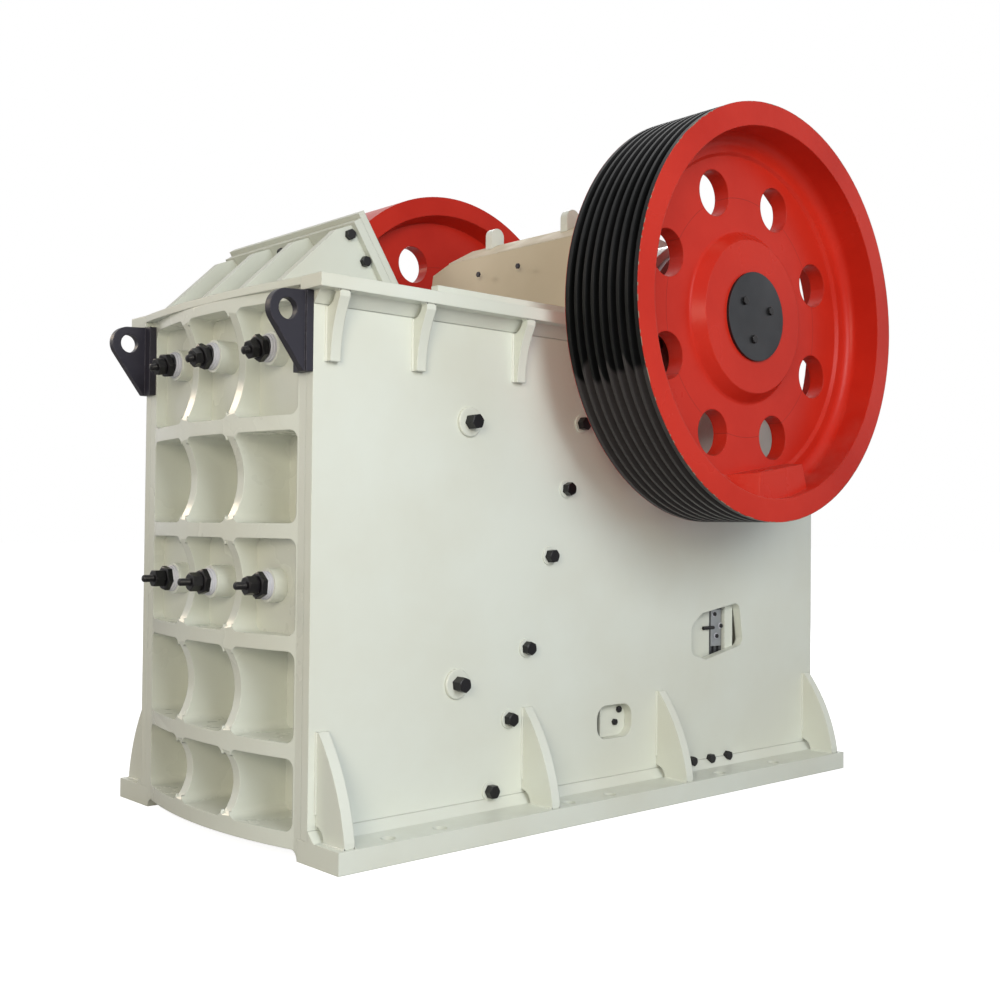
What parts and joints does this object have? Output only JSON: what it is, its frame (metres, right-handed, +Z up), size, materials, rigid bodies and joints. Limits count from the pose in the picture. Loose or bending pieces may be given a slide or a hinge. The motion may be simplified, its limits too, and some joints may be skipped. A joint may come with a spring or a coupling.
{
  "type": "single-toggle jaw crusher",
  "caption": "Stationary rock crusher with a ribbed frame on base flanges, an overhead eccentric shaft with a grooved pulley and a flywheel, and a swing jaw over a toggle.",
  "frame": {"origin": "middle of the four corner anchor bolts, at floor level", "axes": "+X from the ribbed front wall to the rear, +Y along the shaft from the pulley to the flywheel, +Z up"},
  "size_m": [3.295, 2.324, 2.809],
  "materials": {
    "cream_paint": "satin",
    "red_paint": "satin",
    "black_paint": "satin",
    "manganese_steel": "rough",
    "bare_steel": "turned"
  },
  "bodies": {
    "frame": {"front_wall": "cream_paint", "front_top_plate": "cream_paint", "rear_wall": "cream_paint", "feed_guard_plate": "cream_paint", "feed_guard_liner": "cream_paint", "feed_guard_ribs": "cream_paint", "fixed_jaw_plate": "manganese_steel", "rear_beam": "cream_paint", "seat_shelves": "cream_paint", "adjusting_seat": "cream_paint", "shim_pack": "bare_steel", "toggle_plate": "manganese_steel", "tension_rod": "bare_steel", "tension_spring": "bare_steel", "spring_plates": "bare_steel", "pulley_side_wall": "cream_paint", "pulley_side_base_flange": "cream_paint", "pulley_side_foot_gussets": "cream_paint", "pulley_side_top_flange": "cream_paint", "pulley_side_top_gussets": "cream_paint", "pulley_side_lifting_lug": "black_paint", "pulley_side_bearing_housing": "cream_paint", "pulley_side_bearing_cover": "cream_paint", "pulley_side_upper_cheek": "manganese_steel", "pulley_side_lower_cheek": "manganese_steel", "flywheel_side_wall": "cream_paint", "flywheel_side_base_flange": "cream_paint", "flywheel_side_foot_gussets": "cream_paint", "flywheel_side_top_flange": "cream_paint", "flywheel_side_top_gussets": "cream_paint", "flywheel_side_lifting_lug": "black_paint", "flywheel_side_bearing_housing": "cream_paint", "flywheel_side_bearing_cover": "cream_paint", "flywheel_side_upper_cheek": "manganese_steel", "flywheel_side_lower_cheek": "manganese_steel"},
    "rotor": {"eccentric_shaft": "bare_steel", "pulley": "red_paint", "flywheel": "red_paint", "pulley_side_end_cap": "bare_steel", "flywheel_side_end_cap": "bare_steel"},
    "swing_jaw": {"swing_jaw": "cream_paint", "moving_jaw_plate": "manganese_steel", "jaw_wedge": "cream_paint", "head_guard_front": "cream_paint", "head_guard_strip": "cream_paint", "jaw_toggle_seat": "manganese_steel", "head_lugs": "cream_paint"}
  },
  "joints": [
    {"name": "shaft_spin", "type": "hinge", "parent": "frame", "child": "rotor", "pos_m": [0.4865, 0, 1.981], "axis": [0, 1, 0], "continuous": true},
    {"name": "jaw_swing", "type": "hinge", "parent": "rotor", "child": "swing_jaw", "pos_m": [0.48468, 0, 1.99286], "axis": [0, 1, 0], "continuous": true}
  ],
  "couplings": [
    {"joint": "jaw_swing", "follows": "shaft_spin", "ratio": -1}
  ]
}
